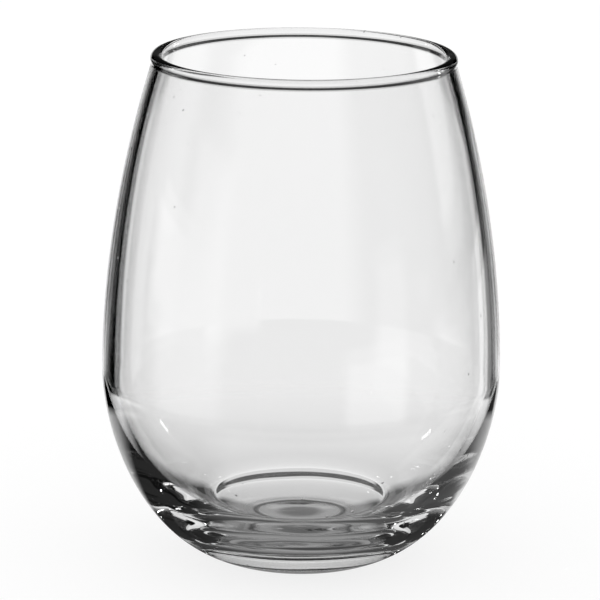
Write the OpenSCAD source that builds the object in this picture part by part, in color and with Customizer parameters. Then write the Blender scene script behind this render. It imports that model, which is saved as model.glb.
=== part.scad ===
// Stemless wine glass of clear soda-lime glass, made in one piece.
// The foot, the thick base, the bowl and the rounded lip are one wall of glass
// with no joint between them, so the part is one solid turned about the Z axis.
// The origin is the centre of the ring that the glass stands on.

/* [Bowl] */
// Overall height, from the table to the top of the lip
glass_h = 116; // [110:0.5:124]
// Widest outside diameter
bowl_d = 90; // [86:0.5:96]
// Height of the widest place above the table
belly_h = 43.6; // [40:0.2:50]
// Thickness of the glass at the widest place
bowl_wall = 2.7; // [2.2:0.1:3.4]
// How long the outline stays upright above the widest place
belly_up_pull = 21.7; // [16:0.1:28]
// How long the outline stays upright below the widest place
belly_down_pull = 13.1; // [10:0.1:17]
// How long the outline follows the lean of the lip before it swells
lip_pull = 22.1; // [16:0.1:28]

/* [Lip] */
// Outside diameter of the rounded lip
lip_d = 68; // [64:0.5:72]
// Thickness of the rounded lip, melted into a bead
bead_d = 2.6; // [2.4:0.1:3.2]
// Thickness of the wall just below the bead
lip_wall = 2.1; // [1.6:0.1:2.3]
// Lean of the wall below the bead, inwards from upright
lip_lean = 16.3; // [10:0.1:20]
// Straight wall from the middle of the bead down to the bowl's curve
lip_run = 5.2; // [4:0.1:8]
// Radius of the hollow between the outside of the bead and the wall
bead_fillet = 1; // [0.5:0.1:1.5]

/* [Outside of the base] */
// Outside diameter of the ring that touches the table
foot_d = 26; // [23:0.5:30]
// Width of the flat that wear and flame leave on the ring
foot_land = 1.5; // [0.8:0.1:2.5]
// Rise of the outside just past the ring, up from the table
heel_rise = 2.7; // [1:0.1:8]
// How long the outline follows that rise before it turns up the side
heel_pull = 23.2; // [19:0.1:26]
// Depth of the hollow under the base
hollow_h = 0.5; // [0.3:0.1:0.9]

/* [Inside of the base] */
// Height of the middle of the inside floor above the table
floor_h = 3.3; // [3:0.1:5]
// How far out the inside floor stays low before it rises to the shoulder
floor_pull = 29.4; // [26:0.1:31]
// Diameter of the inside at the edge where its thick shoulder drops to the floor
shoulder_d = 49; // [48:0.2:54]
// Height of that edge above the table
shoulder_h = 12.9; // [12.2:0.1:16]
// Slope of the shoulder there, up from level
shoulder_rise = 20.4; // [16:0.1:26]
// How long the inside keeps that slope before it drops
shoulder_in_pull = 10; // [8:0.1:13]
// How long the inside keeps that slope up the side
shoulder_out_pull = 13.6; // [10:0.1:15]
// How long the inside stays upright below the widest place
inner_belly_pull = 7.6; // [5:0.1:14]

/* [Smoothness] */
// Steps in each long curve of the outline
curve_steps = 24; // [12:1:40]
// Steps in each small curve of the lip
bead_steps = 12; // [6:1:20]
// Facets round the drawn circle
facets = 180; // [90:10:360]

/* [Hidden] */

// The bead sits flush with the inside of the wall and proud of the outside
bead_r = bead_d / 2;
bead_centre = [lip_d / 2 - bead_r, glass_h - bead_r];
up_wall = [-sin(lip_lean), cos(lip_lean)];
out_of_wall = [cos(lip_lean), sin(lip_lean)];
wall_past_bead = lip_wall - bead_r;
fillet_out = bead_fillet + wall_past_bead;
fillet_down = sqrt(pow(bead_r + bead_fillet, 2) - pow(fillet_out, 2));
fillet_centre = bead_centre + fillet_out * out_of_wall - fillet_down * up_wall;
fillet_turn = atan2(fillet_down, fillet_out);

// Where the lip's straight wall meets the bowl's curve, outside and inside
lip_foot_out = bead_centre + wall_past_bead * out_of_wall - lip_run * up_wall;
lip_foot_in = lip_foot_out - lip_wall * out_of_wall;

// The widest place, outside and inside
belly_out = [bowl_d / 2, belly_h];
belly_in = belly_out - [bowl_wall, 0];

// The ring that touches the table
foot_out = [foot_d / 2, 0];
foot_in = foot_out - [foot_land, 0];

// The middle of the inside floor, and the edge of the shoulder round it
floor_mid = [0, floor_h];
shoulder = [shoulder_d / 2, shoulder_h];

// The hollow under the base is a shallow cap through the ring and its own top
hollow_r = (pow(foot_in[0], 2) + pow(hollow_h, 2)) / (2 * hollow_h);
hollow_turn = asin(foot_in[0] / hollow_r);
hollow_centre = [0, hollow_h - hollow_r];

// A unit vector at an angle from the X axis
function heading(turn) = [cos(turn), sin(turn)];

// A cubic curve from a to d that leaves towards b and arrives from c
function curve(a, b, c, d, steps) = [
    for (i = [0 : steps])
        let (t = i / steps, s = 1 - t)
            s * s * s * a + 3 * s * s * t * b + 3 * s * t * t * c + t * t * t * d
];

// An arc about a centre from one angle to another
function arc(centre, radius, start, end, steps) = [
    for (i = [0 : steps])
        centre + radius * heading(start + (end - start) * i / steps)
];

// The outside of the bowl, up from the foot ring to the lip
outside_low = curve(foot_out, foot_out + heel_pull * heading(heel_rise),
    belly_out - [0, belly_down_pull], belly_out, curve_steps);
outside_high = curve(belly_out, belly_out + [0, belly_up_pull],
    lip_foot_out - lip_pull * up_wall, lip_foot_out, curve_steps);

// The lip, from the hollow outside it, over the bead and down to the inside
lip_hollow = arc(fillet_centre, bead_fillet, 180 + lip_lean,
    180 + lip_lean - fillet_turn, bead_steps);
lip_bead_out = arc(bead_centre, bead_r, lip_lean - fillet_turn, 90, bead_steps);
lip_bead_in = arc(bead_centre, bead_r, 90, 180 + lip_lean, bead_steps);

// The inside of the bowl, down from the lip over the shoulder to the middle of the floor
inside_high = curve(lip_foot_in, lip_foot_in - lip_pull * up_wall,
    belly_in + [0, belly_up_pull], belly_in, curve_steps);
inside_shoulder = curve(belly_in, belly_in - [0, inner_belly_pull],
    shoulder + shoulder_out_pull * heading(shoulder_rise), shoulder, curve_steps);
inside_floor = curve(shoulder, shoulder - shoulder_in_pull * heading(shoulder_rise),
    floor_mid + [floor_pull, 0], floor_mid, curve_steps);

// The hollow under the base, from its top down to the foot ring
underside = arc(hollow_centre, hollow_r, 90, 90 - hollow_turn, curve_steps);

// The points of a curve without its first, which the curve before it ends on
function rest(points) = [for (i = [1 : len(points) - 1]) points[i]];

// Half of the section through the glass
module half_section()
    polygon(concat(outside_low, rest(outside_high), lip_hollow, rest(lip_bead_out),
        rest(lip_bead_in), inside_high, rest(inside_shoulder), rest(inside_floor), underside));

// The whole glass
module glass()
    color([0.85, 0.88, 0.88, 0.35])
        rotate_extrude($fn = facets)
            half_section();

glass();
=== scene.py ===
# %% [markdown]
# # A stemless wine glass
# A stemless wine glass is one piece of clear soda-lime glass. A gob of molten
# glass is pressed to a thick cup, blown out in a mould, and its lip is melted
# round by a flame. So there is one piece to make here, and nearly all of what
# the eye sees is the room, bent through two curved surfaces. The lesson has
# four parts: the outline, the glass itself, the studio that it bends, and the
# camera.

# %% The frame
import math

import bpy
import numpy as np
from mathutils import Matrix, Vector


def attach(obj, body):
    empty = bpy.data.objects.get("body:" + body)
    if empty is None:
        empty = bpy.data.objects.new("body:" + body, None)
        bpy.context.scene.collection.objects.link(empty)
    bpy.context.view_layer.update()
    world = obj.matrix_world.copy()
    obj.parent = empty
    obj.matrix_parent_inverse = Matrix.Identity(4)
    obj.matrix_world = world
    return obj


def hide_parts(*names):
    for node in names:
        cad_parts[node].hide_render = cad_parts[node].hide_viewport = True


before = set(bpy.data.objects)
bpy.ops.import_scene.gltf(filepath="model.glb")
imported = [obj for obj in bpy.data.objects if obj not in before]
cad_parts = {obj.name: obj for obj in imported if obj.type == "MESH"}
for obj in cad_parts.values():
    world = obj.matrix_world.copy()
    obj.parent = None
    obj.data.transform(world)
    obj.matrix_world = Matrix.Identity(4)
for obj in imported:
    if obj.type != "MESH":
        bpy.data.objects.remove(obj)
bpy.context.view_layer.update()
scene = bpy.context.scene
MM = 0.001

# %% [markdown]
# ## The outline
# A blown glass is round, so its shape is half a section turned about the
# upright axis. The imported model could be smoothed, but a refracting solid
# shows every flat facet as a bend in the room behind it. So the outline is
# worked out afresh from its real sizes, much finer, and with the same lines:
# cubic curves for the blown walls, and arcs for the melted lip.

# %% Real sizes of the glass, in millimetres and degrees
GLASS_H = 116
BOWL_D = 90
BELLY_H = 43.6
BOWL_WALL = 2.7
BELLY_UP_PULL = 21.7
BELLY_DOWN_PULL = 13.1
LIP_PULL = 22.1

LIP_D = 68
BEAD_D = 2.6
LIP_WALL = 2.1
LIP_LEAN = 16.3
LIP_RUN = 5.2
BEAD_FILLET = 1

FOOT_D = 26
FOOT_LAND = 1.5
HEEL_RISE = 2.7
HEEL_PULL = 23.2
HOLLOW_H = 0.5
FLOOR_H = 3.3
FLOOR_PULL = 29.4
SHOULDER_D = 49
SHOULDER_H = 12.9
SHOULDER_RISE = 20.4
SHOULDER_IN_PULL = 10
SHOULDER_OUT_PULL = 13.6
INNER_BELLY_PULL = 7.6
print("height over width is", round(GLASS_H / BOWL_D, 2), "and lip over width", round(LIP_D / BOWL_D, 2))

# %% Curves and arcs
CURVE_STEPS = 80
BEAD_STEPS = 36


def heading(turn):
    """A unit vector at an angle in degrees from the first axis."""
    return np.array([math.cos(math.radians(turn)), math.sin(math.radians(turn))])


def curve(a, b, c, d):
    """A cubic curve: (1-t)^3 a + 3 (1-t)^2 t b + 3 (1-t) t^2 c + t^3 d, for t from 0 to 1."""
    t = np.linspace(0, 1, CURVE_STEPS + 1)[:, None]
    s = 1 - t
    return s**3 * a + 3 * s**2 * t * b + 3 * s * t**2 * c + t**3 * d


def arc(centre, radius, start, end, steps):
    """Points on a circle: the centre plus the radius along each angle between two angles."""
    turn = np.radians(np.linspace(start, end, steps + 1))[:, None]
    return centre + radius * np.hstack([np.cos(turn), np.sin(turn)])


# %% [markdown]
# The curves meet where the glass changes: at the bead of the lip, the widest
# place, the thick shoulder inside, the floor and the foot ring. Each of these
# places is a radius and a height. It is worked out once, outside and inside,
# so that the wall keeps its real thickness.

# %% The places where the curves meet
up = np.array([0, 1])
up_wall = heading(90 + LIP_LEAN)
out_of_wall = heading(LIP_LEAN)

bead_r = BEAD_D / 2
bead_mid = np.array([LIP_D / 2 - bead_r, GLASS_H - bead_r])
wall_past_bead = LIP_WALL - bead_r
lip_out = bead_mid + wall_past_bead * out_of_wall - LIP_RUN * up_wall
lip_in = lip_out - LIP_WALL * out_of_wall

belly_out = np.array([BOWL_D / 2, BELLY_H])
belly_in = belly_out - [BOWL_WALL, 0]
shoulder = np.array([SHOULDER_D / 2, SHOULDER_H])
floor_mid = np.array([0, FLOOR_H])
foot_out = np.array([FOOT_D / 2, 0])
foot_in = foot_out - [FOOT_LAND, 0]
print("the wall meets the lip at", lip_out.round(2), "outside and", lip_in.round(2), "inside")

# %% The underside and the outside, from the axis up to the lip
hollow_r = (foot_in[0] ** 2 + HOLLOW_H**2) / (2 * HOLLOW_H)
hollow_turn = math.degrees(math.asin(foot_in[0] / hollow_r))
hollow = arc(np.array([0, HOLLOW_H - hollow_r]), hollow_r, 90, 90 - hollow_turn, CURVE_STEPS // 2)
land = np.array([foot_in, foot_out])
heel = curve(foot_out, foot_out + HEEL_PULL * heading(HEEL_RISE),
             belly_out - BELLY_DOWN_PULL * up, belly_out)
wall_outside = curve(belly_out, belly_out + BELLY_UP_PULL * up, lip_out - LIP_PULL * up_wall, lip_out)
print("the hollow under the base has a radius of", round(hollow_r), "mm")

# %% The lip, a bead with a small hollow outside it
fillet_out = BEAD_FILLET + wall_past_bead
fillet_down = math.sqrt((bead_r + BEAD_FILLET) ** 2 - fillet_out**2)
fillet_mid = bead_mid + fillet_out * out_of_wall - fillet_down * up_wall
fillet_turn = math.degrees(math.atan2(fillet_down, fillet_out))
fillet = arc(fillet_mid, BEAD_FILLET, 180 + LIP_LEAN, 180 + LIP_LEAN - fillet_turn, BEAD_STEPS // 3)
bead = arc(bead_mid, bead_r, LIP_LEAN - fillet_turn, 180 + LIP_LEAN, BEAD_STEPS)
print("the bead is round for", round(180 + fillet_turn), "degrees")

# %% The inside, from the lip down to the axis
wall_inside = curve(lip_in, lip_in - LIP_PULL * up_wall, belly_in + BELLY_UP_PULL * up, belly_in)
slope = curve(belly_in, belly_in - INNER_BELLY_PULL * up,
              shoulder + SHOULDER_OUT_PULL * heading(SHOULDER_RISE), shoulder)
inside_floor = curve(shoulder, shoulder - SHOULDER_IN_PULL * heading(SHOULDER_RISE),
                     floor_mid + [FLOOR_PULL, 0], floor_mid)
print("the floor is", round(FLOOR_H - HOLLOW_H, 1), "mm thick in the middle")

# %% The whole outline, without the points that two curves share
SAME_PLACE = 1e-6

points = np.vstack([hollow, land, heel, wall_outside, fillet, bead, wall_inside, slope, inside_floor])
steps = np.hypot(*np.diff(points, axis=0).T)
section = points[np.hstack([True, steps > SAME_PLACE])]
print("the outline has", len(section), "points, and reaches", section.max(0), "mm")

# %% [markdown]
# ## Turning the outline
# A Screw modifier could turn the outline, but the waves inside the base need
# the angle of every vertex, so the grid is worked out with numpy. It has one
# row for each point of the outline and one column for each step round the
# axis. The first and last rows lie on the axis, so each becomes one point
# with a fan of triangles, and the skin is closed. The steps are as many as
# keep the piece under 200,000 triangles.

# %% A surface of revolution
ROUND_STEPS = 200


def turned(outline, waves):
    """Vertices of a closed skin, in metres: (r cos u, r sin u, z) for each outline point off the
    axis and each of ROUND_STEPS angles u, and then the two points on the axis.
    waves(r, z, u, row) is a small height in mm that is added to z."""
    u = np.arange(ROUND_STEPS) * 2 * np.pi / ROUND_STEPS
    r = outline[1:-1, 0][:, None]
    z = np.repeat(outline[1:-1, 1][:, None], ROUND_STEPS, 1)
    z = z + waves(r, z, u[None], np.arange(1, len(outline) - 1)[:, None])
    rings = np.stack([r * np.cos(u), r * np.sin(u), z], -1).reshape(-1, 3)
    return np.vstack([rings, [0, 0, outline[0, 1]], [0, 0, outline[-1, 1]]]) * MM


def skin_faces(rows):
    """Faces of that skin: a quad from each row and column to the next ones, and a fan of
    triangles from the first row and from the last row to the points on the axis."""
    start = np.arange(rows - 1)[:, None] * ROUND_STEPS
    column = np.arange(ROUND_STEPS)
    after = (column + 1) % ROUND_STEPS
    quads = np.stack([start + column, start + after, start + ROUND_STEPS + after,
                      start + ROUND_STEPS + column], -1)
    last_row = (rows - 1) * ROUND_STEPS
    first_axis_point = np.full_like(column, rows * ROUND_STEPS)
    first_fan = np.stack([after, column, first_axis_point], -1)
    last_fan = np.stack([last_row + column, last_row + after, first_axis_point + 1], -1)
    return [quads.reshape(-1, 4), first_fan, last_fan]


def mesh_object(name, vertices, faces):
    """A smooth-shaded mesh object at the origin, from vertices in metres and lists of faces."""
    mesh = bpy.data.meshes.new(name)
    mesh.from_pydata(vertices.tolist(), [], [f for group in faces for f in group.tolist()])
    mesh.validate()
    mesh.shade_smooth()
    piece = bpy.data.objects.new(name, mesh)
    scene.collection.objects.link(piece)
    return piece


# %% [markdown]
# Blown glass is never quite even: its inside sags in slow waves where the hot
# glass ran. Modelling them in the mesh bends the light truly, which a bump in
# the material can't do through a thick base. Three sines that don't repeat
# together are enough, about a tenth of a millimetre high at most.

# %% The waves inside the base, and the glass itself
# Each wave has a rise in mm, a count round the axis, a turn in radians per mm outwards,
# and a start in radians.
WAVES = ((0.05, 3, 0.22, 0.6), (0.035, 5, -0.35, 2.1), (0.02, 9, 0.5, 4.0))
WAVES_TOP = 30
WAVES_FADE = 12
WAVES_FULL_R = 6


def blown_waves(r, z, u, row):
    """The sum of rise sin(count u + turn r + start) on the inside of the base, in mm, faded
    in over the floor and out again up the wall."""
    inside = row > section[:, 1].argmax()
    low = np.clip((WAVES_TOP - z) / WAVES_FADE, 0, 1) * np.clip(r / WAVES_FULL_R, 0, 1)
    swell = sum(rise * np.sin(count * u + turn * r + start) for rise, count, turn, start in WAVES)
    return inside * low * swell


glass = mesh_object("wine_glass", turned(section, blown_waves), skin_faces(len(section) - 2))
print("the glass has", len(glass.data.vertices), "points and", len(glass.data.polygons), "faces")
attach(glass, "root")
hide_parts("glass")

# %% [markdown]
# ## Soda-lime glass, fire-polished
# Drinking glass is soda-lime glass. It has an index of refraction of 1.52, its
# trace of iron green is too faint to see at this thickness, and its surface
# cooled from liquid, so it is as smooth as water. That gives the eye sharp
# reflections and a bright, bent view of the room. A mirror and a refraction
# shader could be mixed by hand, but one Principled shader with all its light
# let through keeps their balance right at every angle. What keeps the glass
# from looking computed is its slow unevenness, a few seeds, which are tiny
# bubbles caught in the skin, and fine scuffs where the foot ring has stood
# on tables.

# %% Small helpers for materials
def colour(hex_code):
    """An sRGB hex colour as linear red, green, blue and alpha."""
    parts = [int(hex_code[i:i + 2], 16) / 255 for i in (0, 2, 4)]
    return [c / 12.92 if c <= 0.04045 else ((c + 0.055) / 1.055) ** 2.4 for c in parts] + [1]


def add(tree, kind, inputs=(), **settings):
    """Adds a node and its own settings. Then each (socket, value) is set, or linked where the
    value is an output, or a node, of which the first output is taken."""
    node = tree.nodes.new(kind)
    for key, value in settings.items():
        setattr(node, key, value)
    for socket, value in inputs:
        if isinstance(value, bpy.types.Node):
            value = value.outputs[0]
        if isinstance(value, bpy.types.NodeSocket):
            tree.links.new(value, node.inputs[socket])
        else:
            node.inputs[socket].default_value = value
    return node


def new_material(name):
    """An empty node material."""
    material = bpy.data.materials.new(name)
    material.use_nodes = True
    material.node_tree.nodes.clear()
    return material


# %% The glass
GLASS_IOR = 1.52
WAVE_SPACING = 28 * MM
WAVE_RISE = 0.03 * MM
RIPPLE_SPACING = 5 * MM
RIPPLE_RISE = 0.0015 * MM
SEED_SPACING = 7 * MM
SEED_R = 0.4 * MM
SEED_RISE = 0.05 * MM
SCUFF_ROUGHNESS = 0.35
SCUFF_FULL_H = 0.05 * MM
SCUFF_GONE_H = 0.3 * MM


def soda_lime_glass():
    """Clear fire-polished glass with slow waves, faint ripples, a few seeds and a scuffed foot
    ring. The seeds are drawn larger than real ones, so that they show."""
    material = new_material("soda-lime glass, fire-polished")
    tree = material.node_tree
    place = add(tree, "ShaderNodeTexCoord").outputs["Object"]
    waves = add(tree, "ShaderNodeTexNoise", [("Vector", place), ("Scale", 1 / WAVE_SPACING),
                                             ("Detail", 1.0), ("Roughness", 0.4)])
    slow = add(tree, "ShaderNodeBump", [("Height", waves), ("Strength", 1.0), ("Distance", WAVE_RISE)])
    ripple = add(tree, "ShaderNodeTexNoise", [("Vector", place), ("Scale", 1 / RIPPLE_SPACING),
                                              ("Detail", 0.0)])
    fine = add(tree, "ShaderNodeBump", [("Height", ripple), ("Strength", 1.0),
                                        ("Distance", RIPPLE_RISE), ("Normal", slow)])
    cells = add(tree, "ShaderNodeTexVoronoi", [("Vector", place), ("Scale", 1 / SEED_SPACING)])
    seed = add(tree, "ShaderNodeMapRange", [("Value", cells.outputs["Distance"]),
                                            ("From Max", SEED_R / SEED_SPACING), ("To Min", 1.0),
                                            ("To Max", 0.0)], interpolation_type="SMOOTHSTEP")
    seeds = add(tree, "ShaderNodeBump", [("Height", seed), ("Strength", 1.0),
                                         ("Distance", SEED_RISE), ("Normal", fine)])
    height = add(tree, "ShaderNodeSeparateXYZ", [("Vector", place)]).outputs["Z"]
    scuff = add(tree, "ShaderNodeMapRange", [
        ("Value", height), ("From Min", SCUFF_FULL_H), ("From Max", SCUFF_GONE_H),
        ("To Min", SCUFF_ROUGHNESS), ("To Max", 0.0)])
    shader = add(tree, "ShaderNodeBsdfPrincipled", [
        ("Base Color", colour("FFFFFF")), ("Roughness", scuff), ("IOR", GLASS_IOR),
        ("Transmission Weight", 1.0), ("Normal", seeds)])
    add(tree, "ShaderNodeOutputMaterial", [("Surface", shader)])
    return material


glass.data.materials.append(soda_lime_glass())
print("the glass is", glass.data.materials[0].name)

# %% [markdown]
# ## The studio
# Clear glass is photographed in bright field: one white sheet stands behind
# it, and most of the room is dark. The thin wall shows the sheet straight
# through. Each thick edge bends the view past the sheet into the dark, and
# that draws the outline. The base does the same with the table that it stands
# on. Lamps and paper could be modelled, but the glass only ever shows how
# bright each direction is. So the studio is a set of levels, each drawn as a
# line over an angle or over a distance, and they add no noise.

# %% Levels that vary along a line
def level_line(tree, place, knots):
    """A level for each place along a line, straight between the (place, level) knots given."""
    start, end = knots[0][0], knots[-1][0]
    share = add(tree, "ShaderNodeMapRange", [("Value", place), ("From Min", start), ("From Max", end)])
    node = add(tree, "ShaderNodeFloatCurve", [("Value", share)])
    node.mapping.use_clip = False
    dots = node.mapping.curves[0].points
    for at, level in knots[1:-1]:
        dots.new((at - start) / (end - start), level)
    for dot, (at, level) in zip(dots, knots):
        dot.location = ((at - start) / (end - start), level)
        dot.handle_type = "VECTOR"
    node.mapping.update()
    return node


# %% [markdown]
# The table near the glass is not evenly lit, and its light and shade are painted
# on as levels of its own glow. Under the base it is dim, with a painted dark
# line of shade where the foot ring touches. In front lies the painted shade of
# the glass, about 40 mm long, the two sides are darker still, and behind it the
# table is painted as bright as the sheet would light it. Light that a glass
# gathers takes very long to trace, so its result is painted instead. The thick
# base shows nothing but this small place, spread out into dark and bright arcs,
# so these levels matter more than anything else here.

# %% Painted light and shade of the table, each a distance from the middle of the foot in mm, and a level
TABLE_R = 122
TABLE_EDGE = 12
UNDER_FOOT = ((0, 0.15), (4, 0.17), (7, 0.4), (10.4, 0.4), (11, 0.08), (11.6, 0.08), (12.3, 0.3),
              (17, 0.3), (22, 0.06))
TABLE_FRONT = UNDER_FOOT + ((40, 0.1), (50, 0.75), (110, 0.9))
TABLE_SIDES = UNDER_FOOT + ((35, 0.02), (110, 0.03))
TABLE_BACK = ((0, 0.15), (5, 0.2), (7, 0.5), (10.4, 0.55), (11, 0.12), (11.6, 0.12), (12.3, 0.5),
              (17, 0.66), (26, 0.66), (38, 0.73), (57, 0.81), (75, 0.88), (110, 0.97))
# Where each part of the table begins and is full, as a sine or cosine of the direction
BACK_SHARES = (0.25, 0.5)
LEFT_SHARES = (-0.55, -0.8)
RIGHT_SHARES = (0.85, 1.1)


def painted_table_light(tree, place, mm):
    """The painted light and shade of the table: the front's line, with the sides' line mixed in
    by x/r, and then the back's line by y/r."""
    direction = add(tree, "ShaderNodeVectorMath", [(0, place)], operation="NORMALIZE")
    across, ahead, _ = add(tree, "ShaderNodeSeparateXYZ", [("Vector", direction)]).outputs
    left, right, back = (
        add(tree, "ShaderNodeMapRange", [("Value", way), ("From Min", begins), ("From Max", full)])
        for way, (begins, full) in ((across, LEFT_SHARES), (across, RIGHT_SHARES), (ahead, BACK_SHARES)))
    beside = add(tree, "ShaderNodeMath", [(0, left), (1, right)], operation="MAXIMUM")
    level = level_line(tree, mm, TABLE_FRONT)
    for share, line in ((beside, TABLE_SIDES), (back, TABLE_BACK)):
        level = add(tree, "ShaderNodeMix", [("Factor", share), ("A", level),
                                            ("B", level_line(tree, mm, line))])
    return level


# %% The sweep that the glass stands on
SWEEP_R = 1500
SWEEP_OWN_SHARE = 0.8
SWEEP_OWN_LEVEL = 1.03


def sweep_material():
    """White paper. The camera sees it bright, with the shadow of the glass, because most of
    its white is its own light. The glass sees the table near it with its light and shade painted on, and
    past it the studio."""
    material = new_material("white paper sweep")
    tree = material.node_tree
    place = add(tree, "ShaderNodeTexCoord").outputs["Object"]
    radius = add(tree, "ShaderNodeVectorMath", [(0, place)], operation="LENGTH").outputs["Value"]
    mm = add(tree, "ShaderNodeMath", [(0, radius), (1, MM)], operation="DIVIDE")
    # The glass sees the table's painted light and shade as the table's own glow.
    table = add(tree, "ShaderNodeEmission", [("Strength", painted_table_light(tree, place, mm))])
    beyond = add(tree, "ShaderNodeBsdfTransparent")
    edge = add(tree, "ShaderNodeMapRange", [("Value", mm), ("From Min", TABLE_R - TABLE_EDGE),
                                            ("From Max", TABLE_R)])
    seen_by_glass = add(tree, "ShaderNodeMixShader", [("Fac", edge), (1, table), (2, beyond)])
    paper = add(tree, "ShaderNodeBsdfDiffuse", [("Color", colour("FFFFFF"))])
    white = add(tree, "ShaderNodeEmission", [("Strength", SWEEP_OWN_LEVEL)])
    seen_by_camera = add(tree, "ShaderNodeMixShader", [("Fac", SWEEP_OWN_SHARE), (1, paper), (2, white)])
    ray = add(tree, "ShaderNodeLightPath").outputs
    from_glass = add(tree, "ShaderNodeMath", [(0, ray["Is Transmission Ray"]),
                                              (1, ray["Is Glossy Ray"])], operation="MAXIMUM")
    seen = add(tree, "ShaderNodeMixShader", [("Fac", from_glass), (1, seen_by_camera),
                                             (2, seen_by_glass)])
    add(tree, "ShaderNodeOutputMaterial", [("Surface", seen)])
    return material


corners = np.array([(-1, -1, 0), (1, -1, 0), (1, 1, 0), (-1, 1, 0)])
floor = mesh_object("sweep", corners * SWEEP_R * MM, [np.array([[0, 1, 2, 3]])])
floor.data.materials.append(sweep_material())
print("the sweep is", 2 * SWEEP_R, "mm wide, and the glass sees", TABLE_R, "mm of it all round")

# %% [markdown]
# The rest of the studio is a map of levels by direction, so it is drawn in the
# world's light. Directions are turned from +Y, the way the camera looks,
# towards +X. The main sheet stands straight behind the glass. Others to the
# left, to the right and beside the camera glint in its edges, and they are
# what stands behind it when it is looked at from its other sides. The rows of
# the map lie above each other: the steep row is seen through the bowl from
# high up, the camera row from the height of the camera, the level row from
# the height of the bowl, and the high row in reflections and the base.

# %% The rows of the studio, each a direction in degrees and a level
STEEP_ROW = ((-180, 0.0), (-73, 0.0), (-66, 1.0), (-25, 1.0), (-21, 0.02), (-13, 0.02), (-9, 0.95),
             (20, 0.95), (80, 0.7), (95, 0.0), (180, 0.0))
CAMERA_ROW = ((-180, 0.0), (-136, 0.0), (-128, 0.5), (-90, 0.5), (-84, 0.0), (-19, 0.0), (-17, 0.98),
              (19.5, 0.98), (21.5, 0.05), (36, 0.05), (40, 0.9), (53, 0.9), (58, 0.1), (68, 0.3),
              (90, 0.3), (95, 0.0), (114, 0.0), (119, 0.75), (151, 0.75), (156, 0.0), (180, 0.0))
LEVEL_ROW = ((-180, 0.0), (-136, 0.0), (-130, 0.5), (-108, 0.7), (-82, 0.7), (-78, 0.0), (-20, 0.0),
             (-16, 0.72), (16, 0.72), (20, 0.0), (114, 0.0), (119, 0.4), (132, 0.4), (137, 0.0),
             (180, 0.0))
HIGH_ROW = ((-180, 0.0), (-136, 0.0), (-128, 0.5), (-108, 0.5), (-100, 0.0), (-17, 0.0), (-14, 0.05),
            (14, 0.05), (17, 0.0), (180, 0.0))
# Each row, and the two heights in degrees between which it gives way to the next one
ROWS = ((STEEP_ROW, (-22.5, -21)), (CAMERA_ROW, (-9, -8)), (LEVEL_ROW, (1.6, 2.6)), (HIGH_ROW, (10, 14)))
ROOM_LEVEL = 0.02
print("the studio has", len(ROWS), "rows of sheets")

# %% The map of the studio
world = bpy.data.worlds.new("studio")
scene.world = world
world.use_nodes = True
tree = world.node_tree
tree.nodes.clear()
x, y, z = add(tree, "ShaderNodeSeparateXYZ", [
    ("Vector", add(tree, "ShaderNodeTexCoord").outputs["Object"])]).outputs
angle_round = add(tree, "ShaderNodeMath", [(0, x), (1, y)], operation="ARCTAN2")
turn = add(tree, "ShaderNodeMath", [(0, angle_round)], operation="DEGREES")
angle_up = add(tree, "ShaderNodeMath", [(0, z)], operation="ARCSINE")
height = add(tree, "ShaderNodeMath", [(0, angle_up)], operation="DEGREES")
studio = ROOM_LEVEL
for row, (full, gone) in reversed(ROWS):
    above = add(tree, "ShaderNodeMapRange", [("Value", height), ("From Min", full), ("From Max", gone)],
                interpolation_type="SMOOTHSTEP")
    studio = add(tree, "ShaderNodeMix", [("Factor", above), ("A", level_line(tree, turn, row)),
                                         ("B", studio)])
print("the map takes", len(tree.nodes), "nodes")

# %% [markdown]
# Two narrow lamps stand among the sheets, one on each side. They make the
# small bright marks on the wall of the bowl. They are in the map too, so that
# only the glass sees them.

# %% The lamps, each a direction and height in degrees, and half its width and height
LAMPS = ((-56, 20, 1.5, 4), (52.5, 11.5, 1.5, 3))
LAMP_LEVEL = 7

for lamp_turn, lamp_height, half_wide, half_tall in LAMPS:
    within_width = add(tree, "ShaderNodeMath", [(0, turn), (1, lamp_turn), (2, half_wide)],
                       operation="COMPARE")
    within_height = add(tree, "ShaderNodeMath", [(0, height), (1, lamp_height), (2, half_tall)],
                        operation="COMPARE")
    lit = add(tree, "ShaderNodeMath", [(0, within_width), (1, within_height)], operation="MULTIPLY")
    studio = add(tree, "ShaderNodeMix", [("Factor", lit), ("A", studio), ("B", LAMP_LEVEL)])
print("it has", len(LAMPS), "lamps")

# %% [markdown]
# A glass is looked through many times over: a ray that enters the base may
# meet its walls a dozen times before it leaves. So rays may bend and bounce
# more often than usual. What isn't glass gets one plain white level.

# %% The light of the world
PLAIN_LEVEL = 0.95
BACKDROP_LEVEL = 1.0
BENDS = 32
MIRRORINGS = 16

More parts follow.
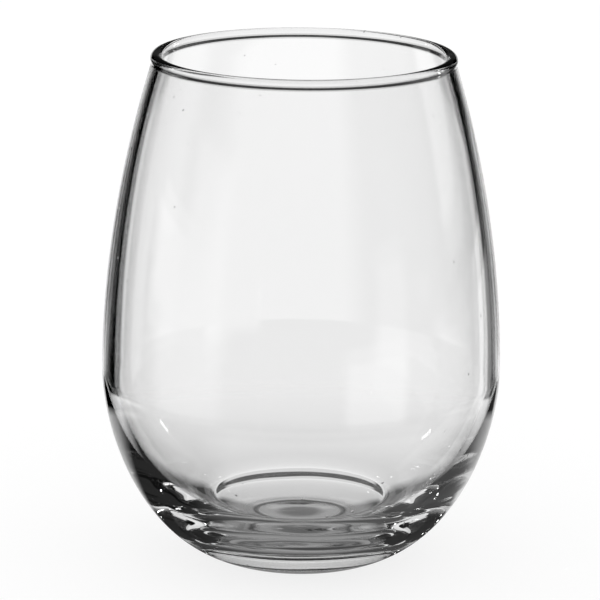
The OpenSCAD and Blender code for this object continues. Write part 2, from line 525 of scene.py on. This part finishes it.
ray = add(tree, "ShaderNodeLightPath").outputs
from_glass = add(tree, "ShaderNodeMath", [(0, ray["Is Transmission Ray"]),
                                          (1, ray["Is Glossy Ray"])], operation="MAXIMUM")
plain = add(tree, "ShaderNodeMix", [("Factor", ray["Is Camera Ray"]), ("A", PLAIN_LEVEL),
                                    ("B", BACKDROP_LEVEL)])
level = add(tree, "ShaderNodeMix", [("Factor", from_glass), ("A", plain), ("B", studio)])
light = add(tree, "ShaderNodeBackground", [("Color", colour("FFFFFF")), ("Strength", level)])
add(tree, "ShaderNodeOutputWorld", [("Surface", light)])
scene.cycles.max_bounces = BENDS
scene.cycles.transmission_bounces = BENDS
scene.cycles.glossy_bounces = MIRRORINGS
print("a ray may bend", BENDS, "times")

# %% [markdown]
# ## The camera
# The ellipse of the lip and the curve of the base give the camera's height,
# and the way that the lip's ellipse is rounder than it would be from afar
# gives its distance: a long lens about 0.7 m away, looking down 15 degrees.

# %% The camera, in millimetres, degrees and pixels
LOOK_DOWN = 14.97
DISTANCE = 713
AIM_HEIGHT = 55
ROLL = 0.6
PIXELS = 600
PIXELS_PER_MM = 4.428
AIM_PIXEL = (301.5, 319.4)
SENSOR = 36

tilt = math.radians(LOOK_DOWN)
backwards = Vector((0, -math.cos(tilt), math.sin(tilt)))
upwards = Vector((0, math.sin(tilt), math.cos(tilt)))
level_turn = Matrix((Vector((1, 0, 0)), upwards, backwards)).transposed()
lens = bpy.data.cameras.new("camera")
lens.sensor_width = SENSOR
lens.lens = PIXELS_PER_MM * DISTANCE * SENSOR / PIXELS
lens.shift_x = (PIXELS / 2 - AIM_PIXEL[0]) / PIXELS
lens.shift_y = (AIM_PIXEL[1] - PIXELS / 2) / PIXELS
camera = bpy.data.objects.new("camera", lens)
camera.location = Vector((0, 0, AIM_HEIGHT * MM)) + backwards * DISTANCE * MM
camera.rotation_euler = (level_turn @ Matrix.Rotation(math.radians(ROLL), 3, "Z")).to_euler()
scene.collection.objects.link(camera)
scene.camera = camera
scene.view_settings.view_transform = "Standard"
print("the lens is", round(lens.lens, 1), "mm long")
